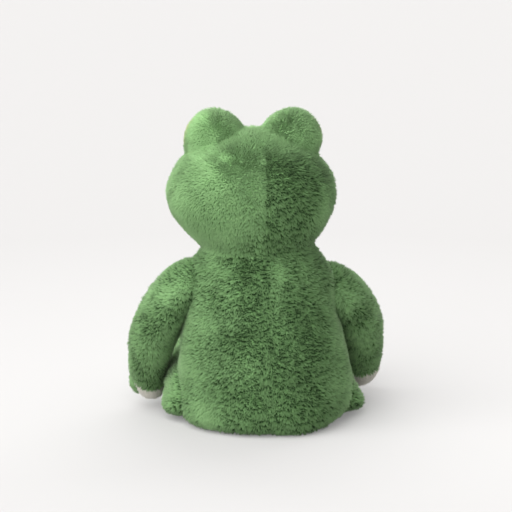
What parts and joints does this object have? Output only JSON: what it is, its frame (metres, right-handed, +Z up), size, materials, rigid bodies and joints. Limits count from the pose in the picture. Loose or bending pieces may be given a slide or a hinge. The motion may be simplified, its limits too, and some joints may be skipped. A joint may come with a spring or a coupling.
{
  "type": "plush frog",
  "caption": "Sitting plush frog with a pear-shaped body, wide head with two eye mounds, jointed arms and legs, green fur and cream palms",
  "frame": {"origin": "on the floor, on the flat underside of the seat, under the middle of the body", "axes": "+Z up, the frog faces -Y, +X is the frog's own left"},
  "size_m": [0.3222, 0.2876, 0.3978],
  "materials": {
    "green_fur": "short dense plush pile",
    "cream_fur": "short smooth plush pile",
    "eye_felt": "felt",
    "stuffing": "loose polyester fibre",
    "bag_cloth": "plain weave",
    "eye_plastic": "polished",
    "washer_plastic": "moulded",
    "thread": "embroidery thread"
  },
  "bodies": {
    "body": {"body_back_left": "green_fur", "body_back_right": "green_fur", "belly": "cream_fur", "seat": "green_fur", "body_stuffing": "stuffing", "pellet_bag": "bag_cloth", "neck_stuffing": "stuffing"},
    "head": {"head_back_left": "green_fur", "head_back_right": "green_fur", "face": "green_fur", "chin": "cream_fur", "head_stuffing": "stuffing", "mouth_stitching": "thread", "eye_mound_left": "green_fur", "eye_mound_stuffing_left": "stuffing", "eye_patch_left": "eye_felt", "eye_left": "eye_plastic", "eye_washer_left": "washer_plastic", "nostril_left": "thread", "eye_mound_right": "green_fur", "eye_mound_stuffing_right": "stuffing", "eye_patch_right": "eye_felt", "eye_right": "eye_plastic", "eye_washer_right": "washer_plastic", "nostril_right": "thread"},
    "arm_left": {"arm_back_left": "green_fur", "arm_front_left": "green_fur", "palm_left": "cream_fur", "thumb_left": "green_fur", "arm_stuffing_left": "stuffing"},
    "leg_left": {"leg_top_left": "green_fur", "leg_under_left": "green_fur", "sole_left": "cream_fur", "leg_stuffing_left": "stuffing"},
    "arm_right": {"arm_back_right": "green_fur", "arm_front_right": "green_fur", "palm_right": "cream_fur", "thumb_right": "green_fur", "arm_stuffing_right": "stuffing"},
    "leg_right": {"leg_top_right": "green_fur", "leg_under_right": "green_fur", "sole_right": "cream_fur", "leg_stuffing_right": "stuffing"}
  },
  "joints": [
    {"name": "neck_nod", "type": "hinge", "parent": "body", "child": "head", "pos_m": [0.004, -0.004, 0.225], "axis": [1, 0, 0], "range_deg": [-8, 15], "stiffness_Nm_per_rad": 3},
    {"name": "shoulder_left_swing", "type": "hinge", "parent": "body", "child": "arm_left", "pos_m": [0.079, 0.004, 0.195], "axis": [-1, 0, 0], "range_deg": [-12, 60], "stiffness_Nm_per_rad": 0.5},
    {"name": "shoulder_right_swing", "type": "hinge", "parent": "body", "child": "arm_right", "pos_m": [-0.071, 0.004, 0.195], "axis": [-1, 0, 0], "range_deg": [-12, 55], "stiffness_Nm_per_rad": 0.5},
    {"name": "hip_left_lift", "type": "hinge", "parent": "body", "child": "leg_left", "pos_m": [0.081, -0.036, 0.0395], "axis": [-1, 0, 0], "range_deg": [0, 30], "stiffness_Nm_per_rad": 0.5},
    {"name": "hip_right_lift", "type": "hinge", "parent": "body", "child": "leg_right", "pos_m": [-0.081, -0.036, 0.0395], "axis": [-1, 0, 0], "range_deg": [0, 30], "stiffness_Nm_per_rad": 0.5}
  ]
}
